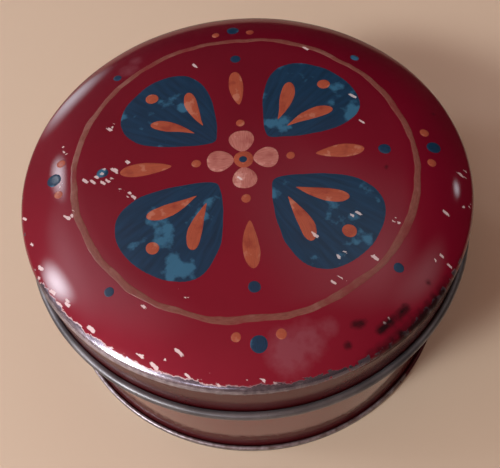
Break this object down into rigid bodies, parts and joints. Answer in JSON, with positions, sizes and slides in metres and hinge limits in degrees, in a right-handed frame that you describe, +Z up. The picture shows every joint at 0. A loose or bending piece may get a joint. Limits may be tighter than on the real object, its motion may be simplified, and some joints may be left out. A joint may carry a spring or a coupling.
{
  "type": "round slip-lid tin",
  "caption": "Round tinplate box with a domed lift-off lid, a wired lid edge, a curled mouth and a double-seamed base, lacquered red with painted ornament.",
  "frame": {"origin": "on the table, under the middle of the base", "axes": "+Z up along the tin's axis, -Y towards the viewer, side seam at +Y"},
  "size_m": [0.188, 0.188, 0.0886],
  "materials": {
    "lid_lacquer": "glossy dark red lacquer, worn to bare tin along the edge",
    "rim_wire": "plain drawn steel wire",
    "wall_lacquer": "glossy dark red lacquer, bare tin inside",
    "base_tin": "dull bare tinplate",
    "teal_paint": "brushed-on blue-green enamel",
    "orange_paint": "brushed-on orange enamel"
  },
  "bodies": {
    "tin_body": {"body_wall": "wall_lacquer", "base_pan": "base_tin"},
    "lid": {"lid_shell": "lid_lacquer", "lid_rim_wire": "rim_wire"}
  },
  "joints": [
    {"name": "lid_lift", "type": "slide", "parent": "tin_body", "child": "lid", "axis": [0, 0, 1], "range_m": [0, 0.06]}
  ]
}
